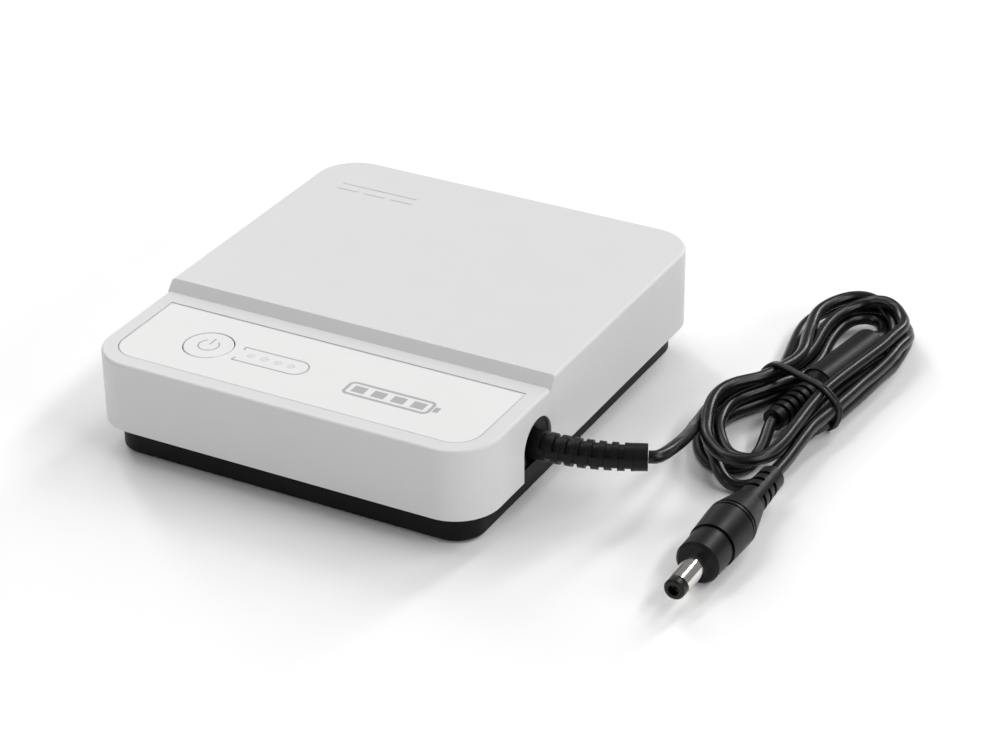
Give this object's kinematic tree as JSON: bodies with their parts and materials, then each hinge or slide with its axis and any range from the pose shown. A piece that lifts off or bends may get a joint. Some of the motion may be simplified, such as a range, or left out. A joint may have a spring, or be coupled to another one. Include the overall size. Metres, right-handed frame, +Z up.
{
  "type": "uninterruptible power supply",
  "caption": "Small flat DC backup power supply: white case on a black base, power button, status lights, rear inlet and a captive lead with a coaxial plug, tied in a hank.",
  "frame": {"origin": "on the table, under the middle of the case", "axes": "+Z up, +X to the right seen from the button's side, +Y to the back, where the inlet is"},
  "size_m": [0.1588, 0.1507, 0.0293],
  "materials": {
    "shell_plastic": "satin",
    "base_plastic": "satin",
    "label_film": "smooth satin film with printed lines",
    "button_plastic": "smooth satin",
    "light_guide_plastic": "clear moulded",
    "black_plastic": "fine grain",
    "light_package": "clear",
    "board_laminate": "solder mask",
    "screw_steel": "zinc plated",
    "ferrite": "matt sintered",
    "capacitor_can": "sleeved",
    "fuse_ceramic": "glazed",
    "connector_nylon": "moulded",
    "red_insulation": "extruded",
    "black_insulation": "extruded",
    "cell_wrap": "heat-shrunk film",
    "cradle_plastic": "moulded",
    "nickel_strip": "spot welded",
    "foam": "closed cell",
    "nickel_plate": "bright nickel plate",
    "spring_brass": "rolled",
    "foot_rubber": "matt",
    "rating_foil": "printed foil",
    "lead_jacket": "semi-gloss extruded",
    "moulded_rubber": "satin moulded",
    "tie_plastic": "semi-gloss"
  },
  "bodies": {
    "case": {"top_shell": "shell_plastic", "base_tray": "base_plastic", "front_label": "label_film", "light_guide": "light_guide_plastic", "switch_body": "black_plastic", "status_lights": "light_package", "main_board": "board_laminate", "board_screws": "screw_steel", "power_inductor": "ferrite", "bulk_capacitors": "capacitor_can", "controller_chips": "black_plastic", "power_transistors": "black_plastic", "input_fuse": "fuse_ceramic", "battery_socket": "connector_nylon", "battery_connector": "connector_nylon", "battery_wire_red": "red_insulation", "battery_wire_black": "black_insulation", "battery_cell_front": "cell_wrap", "battery_cell_middle": "cell_wrap", "battery_cell_back": "cell_wrap", "cell_cradle": "cradle_plastic", "cell_strips": "nickel_strip", "cell_pads": "foam", "protection_board": "board_laminate", "inlet_jack": "black_plastic", "inlet_pin": "nickel_plate", "inlet_spring": "spring_brass", "inlet_board": "board_laminate", "inlet_wire_red": "red_insulation", "inlet_wire_black": "black_insulation", "case_screws": "screw_steel", "rubber_feet": "foot_rubber", "rating_plate": "rating_foil", "strain_relief": "moulded_rubber", "output_wire_red": "red_insulation", "output_wire_black": "black_insulation", "cord_lead": "lead_jacket", "cord_hank": "lead_jacket", "cord_tail": "lead_jacket", "cord_tie": "tie_plastic", "ferrite_core": "ferrite", "ferrite_sleeve": "moulded_rubber", "plug_grip": "moulded_rubber", "plug_nose": "moulded_rubber", "plug_barrel": "nickel_plate", "plug_insulator": "black_plastic", "plug_contact": "spring_brass"},
    "button": {"power_button": "button_plastic", "switch_plunger": "black_plastic"}
  },
  "joints": [
    {"name": "power_button_press", "type": "slide", "parent": "case", "child": "button", "axis": [0, 0, -1], "range_m": [0, 0.0005], "stiffness_N_per_m": 3000}
  ]
}
